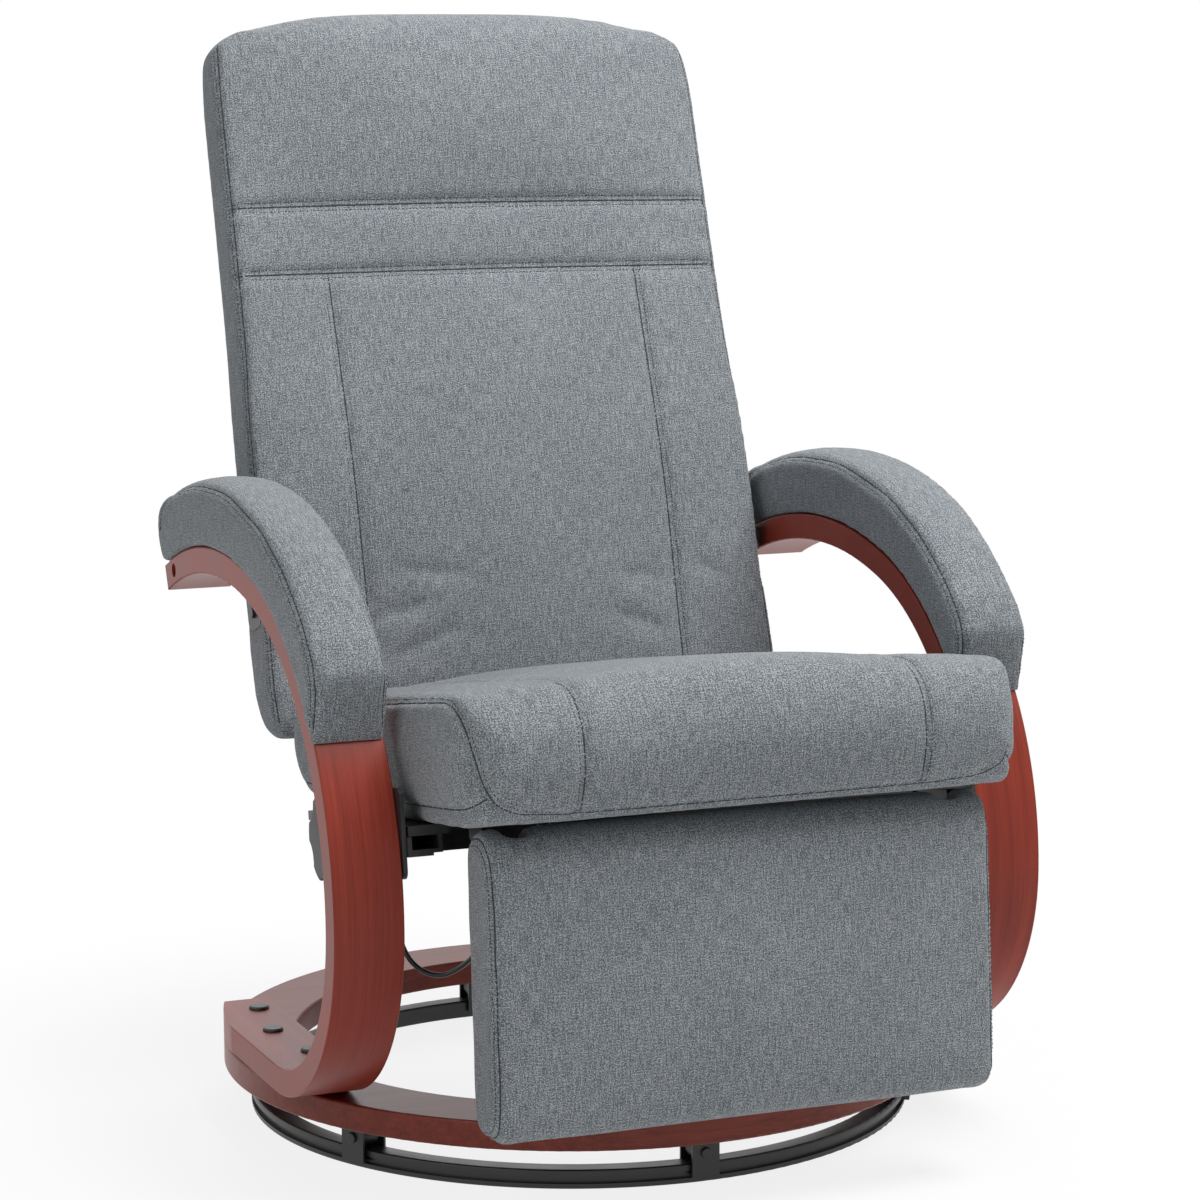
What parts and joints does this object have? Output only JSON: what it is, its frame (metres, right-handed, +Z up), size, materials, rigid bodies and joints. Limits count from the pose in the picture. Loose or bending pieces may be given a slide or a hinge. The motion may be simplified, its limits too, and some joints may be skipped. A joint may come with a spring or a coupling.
{
  "type": "swivel recliner",
  "caption": "Upholstered swivel recliner with bentwood arm loops on a ring base, a tilting back, a sliding seat and a fold-up footrest.",
  "frame": {"origin": "centre of the plan box at floor level", "axes": "+Z up; the chair faces -Y; +X is to the right of someone who looks at its front"},
  "size_m": [0.718, 0.84, 1.0781],
  "materials": {
    "fabric": "heathered blue-grey weave",
    "stained_wood": "red-brown stain under satin lacquer",
    "raw_wood": "plain plywood",
    "black_board": "board under black dust cloth",
    "black_steel": "satin black powder coat",
    "bright_steel": "plated fasteners",
    "black_plastic": "fine matt texture",
    "cable_sheath": "smooth cable sheath"
  },
  "bodies": {
    "base": {"floor_ring": "black_steel"},
    "chair": {"wood_ring": "stained_wood", "guide_brackets": "black_steel", "bracket_screws": "bright_steel", "roller_axles": "black_steel", "arm_strip_left": "stained_wood", "arm_strip_right": "stained_wood", "foot_bolts": "bright_steel", "foot_bolt_caps": "black_plastic", "arm_pad_left": "fabric", "arm_pad_right": "fabric", "arm_pad_screws": "bright_steel", "side_plate_left": "black_steel", "side_plate_right": "black_steel", "side_plate_screws": "black_steel", "slide_rail_left": "black_steel", "slide_rail_right": "black_steel", "rail_cross_tube": "black_steel", "back_pivot_bushes": "black_plastic"},
    "backrest": {"back_cushion": "fabric", "back_frame": "raw_wood", "back_panel": "fabric", "back_hinge_plates": "black_steel", "back_hinge_screws": "black_steel", "back_pivot_pins": "bright_steel", "drive_arms": "black_steel"},
    "seat": {"seat_cushion": "fabric", "seat_board": "black_board", "seat_runners": "black_steel", "seat_glides": "black_plastic", "seat_front_bar": "black_steel", "seat_rear_arms": "black_steel", "drive_rod": "bright_steel", "footrest_brackets": "black_steel", "cable_glands": "black_plastic", "release_cable": "cable_sheath"},
    "footrest": {"footrest_pad": "fabric", "footrest_board": "black_board", "footrest_arms": "black_steel", "footrest_pins": "bright_steel"},
    "knob": {"lock_knob": "black_plastic", "knob_stud": "bright_steel"},
    "roller_1": {"guide_roller_1": "black_plastic"},
    "roller_2": {"guide_roller_2": "black_plastic"},
    "roller_3": {"guide_roller_3": "black_plastic"},
    "roller_4": {"guide_roller_4": "black_plastic"},
    "roller_5": {"guide_roller_5": "black_plastic"},
    "roller_6": {"guide_roller_6": "black_plastic"}
  },
  "joints": [
    {"name": "swivel", "type": "hinge", "parent": "base", "child": "chair", "pos_m": [0, 0.0175, 0], "axis": [0, 0, 1], "continuous": true},
    {"name": "back_recline", "type": "hinge", "parent": "chair", "child": "backrest", "pos_m": [0, 0.21763, 0.52234], "axis": [-1, 0, 0], "range_deg": [0, 35]},
    {"name": "seat_slide", "type": "slide", "parent": "chair", "child": "seat", "axis": [0, -0.9903, 0.1392], "range_m": [0, 0.087]},
    {"name": "footrest_raise", "type": "hinge", "parent": "seat", "child": "footrest", "pos_m": [0, -0.36047, 0.32295], "axis": [-1, 0, 0], "range_deg": [0, 85]},
    {"name": "knob_turn", "type": "hinge", "parent": "chair", "child": "knob", "pos_m": [-0.3, -0.16253, 0.31947], "axis": [-1, 0, 0], "range_deg": [0, 270]},
    {"name": "roller_spin_1", "type": "hinge", "parent": "chair", "child": "roller_1", "pos_m": [0.27831, 0.1705, 0.02945], "axis": [0.8763, 0.4818, 0], "continuous": true},
    {"name": "roller_spin_2", "type": "hinge", "parent": "chair", "child": "roller_2", "pos_m": [0.00665, 0.33503, 0.02945], "axis": [0.0209, 0.9998, 0], "continuous": true},
    {"name": "roller_spin_3", "type": "hinge", "parent": "chair", "child": "roller_3", "pos_m": [-0.27166, 0.18202, 0.02945], "axis": [-0.8554, 0.518, 0], "continuous": true},
    {"name": "roller_spin_4", "type": "hinge", "parent": "chair", "child": "roller_4", "pos_m": [-0.27831, -0.1355, 0.02945], "axis": [-0.8763, -0.4818, 0], "continuous": true},
    {"name": "roller_spin_5", "type": "hinge", "parent": "chair", "child": "roller_5", "pos_m": [-0.00665, -0.30003, 0.02945], "axis": [-0.0209, -0.9998, 0], "continuous": true},
    {"name": "roller_spin_6", "type": "hinge", "parent": "chair", "child": "roller_6", "pos_m": [0.27166, -0.14702, 0.02945], "axis": [0.8554, -0.518, 0], "continuous": true}
  ],
  "couplings": [
    {"joint": "seat_slide", "follows": "back_recline", "m_per_rad": 0.14242},
    {"joint": "roller_spin_1", "follows": "swivel", "ratio": -29.544},
    {"joint": "roller_spin_2", "follows": "swivel", "ratio": -29.544},
    {"joint": "roller_spin_3", "follows": "swivel", "ratio": -29.544},
    {"joint": "roller_spin_4", "follows": "swivel", "ratio": -29.544},
    {"joint": "roller_spin_5", "follows": "swivel", "ratio": -29.544},
    {"joint": "roller_spin_6", "follows": "swivel", "ratio": -29.544}
  ]
}
